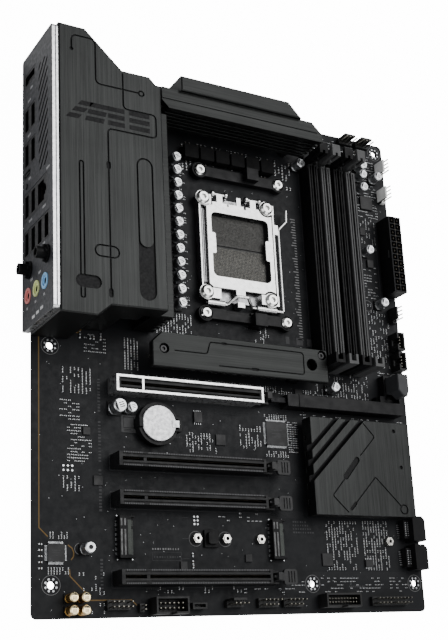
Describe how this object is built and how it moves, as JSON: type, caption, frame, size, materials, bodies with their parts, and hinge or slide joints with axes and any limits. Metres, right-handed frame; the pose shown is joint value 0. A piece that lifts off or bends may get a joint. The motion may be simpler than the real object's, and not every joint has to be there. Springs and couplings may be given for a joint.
{
  "type": "motherboard",
  "caption": "Computer motherboard with rear port shield and cover, brushed heatsinks, processor socket with lever, memory and expansion slots, latches and a card release button.",
  "frame": {"origin": "centre of the rear slot-side mounting hole, on the underside of the circuit board, where it seats on its standoff", "axes": "+X from the rear ports to the front of the case, +Y from the expansion slots to the processor power end, +Z out of the component side"},
  "size_m": [0.254, 0.3084, 0.0471],
  "materials": {
    "board_laminate": "satin solder mask",
    "shield_steel": "satin paint",
    "port_metal": "satin",
    "jack_plastic": "satin",
    "connector_black": "satin",
    "module_green": "satin",
    "button_plastic": "satin",
    "brushed_dark": "brushed, dark anodised",
    "choke_black": "matte",
    "thermal_pad": "matte",
    "heatsink_dark": "satin anodised",
    "can_metal": "satin",
    "socket_plastic": "matte",
    "contact_field": "matte",
    "stainless": "satin",
    "screw_nickel": "polished",
    "bracket_plastic": "satin",
    "backplate_steel": "zinc plated",
    "shroud_steel": "satin",
    "link_steel": "satin",
    "post_brass": "plated",
    "battery_steel": "satin",
    "chip_epoxy": "matte",
    "header_plastic": "satin",
    "solder": "bright",
    "memory_black": "satin",
    "memory_grey": "satin",
    "slot_plastic": "satin",
    "latch_plastic": "satin"
  },
  "bodies": {
    "board": {"pcb": "board_laminate", "io_shield": "shield_steel", "usb_ports": "port_metal", "network_port": "port_metal", "display_port": "port_metal", "audio_jacks": "jack_plastic", "antenna_connectors": "connector_black", "wifi_module": "module_green", "flashback_switch": "connector_black", "io_cover": "brushed_dark", "chokes": "choke_black", "soft_pads": "thermal_pad", "left_vrm_heatsink": "heatsink_dark", "top_vrm_heatsink": "heatsink_dark", "vrm_capacitors": "can_metal", "capacitors": "can_metal", "socket_body": "socket_plastic", "socket_contacts": "contact_field", "socket_frame": "stainless", "socket_screws": "screw_nickel", "cooler_brackets": "bracket_plastic", "socket_backplate": "backplate_steel", "pcie_shroud": "shroud_steel", "release_cover": "bracket_plastic", "m2_heatsink": "brushed_dark", "m2_sockets": "connector_black", "m2_posts": "post_brass", "chipset_heatsink": "brushed_dark", "heatsink_screws": "screw_nickel", "battery": "battery_steel", "battery_holder": "bracket_plastic", "chips": "chip_epoxy", "main_power_connector": "connector_black", "cpu_power_connectors": "connector_black", "fan_headers": "header_plastic", "pin_headers": "header_plastic", "boxed_headers": "header_plastic", "sata_ports": "connector_black", "solder_pins": "solder", "memory_slot_1": "memory_black", "pcie_slot_1": "slot_plastic", "memory_slot_2": "memory_grey", "pcie_slot_2": "slot_plastic", "memory_slot_3": "memory_black", "pcie_slot_3": "slot_plastic", "memory_slot_4": "memory_grey", "pcie_slot_4": "slot_plastic"},
    "load_plate": {"load_plate": "stainless"},
    "load_lever": {"load_lever": "stainless"},
    "flashback_button": {"flashback_button": "button_plastic"},
    "release_button": {"release_button": "button_plastic"},
    "release_link": {"release_link": "link_steel"},
    "memory_latch_1": {"memory_latch_1": "memory_black"},
    "memory_latch_2": {"memory_latch_2": "memory_grey"},
    "memory_latch_3": {"memory_latch_3": "memory_black"},
    "memory_latch_4": {"memory_latch_4": "memory_grey"},
    "pcie_latch_1": {"pcie_latch_1": "latch_plastic"},
    "pcie_latch_2": {"pcie_latch_2": "latch_plastic"},
    "pcie_latch_3": {"pcie_latch_3": "latch_plastic"},
    "pcie_latch_4": {"pcie_latch_4": "latch_plastic"}
  },
  "joints": [
    {"name": "load_plate_hinge", "type": "hinge", "parent": "board", "child": "load_plate", "pos_m": [0.11684, 0.22799, 0.0061], "axis": [-1, 0, 0], "range_deg": [0, 110]},
    {"name": "load_lever_hinge", "type": "hinge", "parent": "board", "child": "load_lever", "pos_m": [0.11684, 0.15949, 0.0048], "axis": [1, 0, 0], "range_deg": [0, 110]},
    {"name": "flashback_press", "type": "slide", "parent": "board", "child": "flashback_button", "axis": [1, 0, 0], "range_m": [0, 0.0004], "stiffness_N_per_m": 400},
    {"name": "release_press", "type": "slide", "parent": "board", "child": "release_button", "axis": [0, 0, -1], "range_m": [0, 0.0025], "stiffness_N_per_m": 300},
    {"name": "release_link_slide", "type": "slide", "parent": "board", "child": "release_link", "axis": [1, 0, 0], "range_m": [0, 0.0025]},
    {"name": "memory_latch_1_hinge", "type": "hinge", "parent": "board", "child": "memory_latch_1", "pos_m": [0.16964, 0.26269, 0.0046], "axis": [-1, 0, 0], "range_deg": [0, 28]},
    {"name": "memory_latch_2_hinge", "type": "hinge", "parent": "board", "child": "memory_latch_2", "pos_m": [0.17914, 0.26269, 0.0046], "axis": [-1, 0, 0], "range_deg": [0, 28]},
    {"name": "memory_latch_3_hinge", "type": "hinge", "parent": "board", "child": "memory_latch_3", "pos_m": [0.18864, 0.26269, 0.0046], "axis": [-1, 0, 0], "range_deg": [0, 28]},
    {"name": "memory_latch_4_hinge", "type": "hinge", "parent": "board", "child": "memory_latch_4", "pos_m": [0.19814, 0.26269, 0.0046], "axis": [-1, 0, 0], "range_deg": [0, 28]},
    {"name": "pcie_latch_1_hinge", "type": "hinge", "parent": "board", "child": "pcie_latch_1", "pos_m": [0.12624, 0.10449, 0.0042], "axis": [0, 1, 0], "range_deg": [0, 16]},
    {"name": "pcie_latch_2_hinge", "type": "hinge", "parent": "board", "child": "pcie_latch_2", "pos_m": [0.12624, 0.06385, 0.0042], "axis": [0, 1, 0], "range_deg": [0, 16]},
    {"name": "pcie_latch_3_hinge", "type": "hinge", "parent": "board", "child": "pcie_latch_3", "pos_m": [0.12624, 0.04353, 0.0042], "axis": [0, 1, 0], "range_deg": [0, 16]},
    {"name": "pcie_latch_4_hinge", "type": "hinge", "parent": "board", "child": "pcie_latch_4", "pos_m": [0.12624, 0.00289, 0.0042], "axis": [0, 1, 0], "range_deg": [0, 16]}
  ],
  "couplings": [
    {"joint": "release_link_slide", "follows": "release_press", "ratio": 1},
    {"joint": "pcie_latch_1_hinge", "follows": "release_press", "rad_per_m": 111.59}
  ]
}
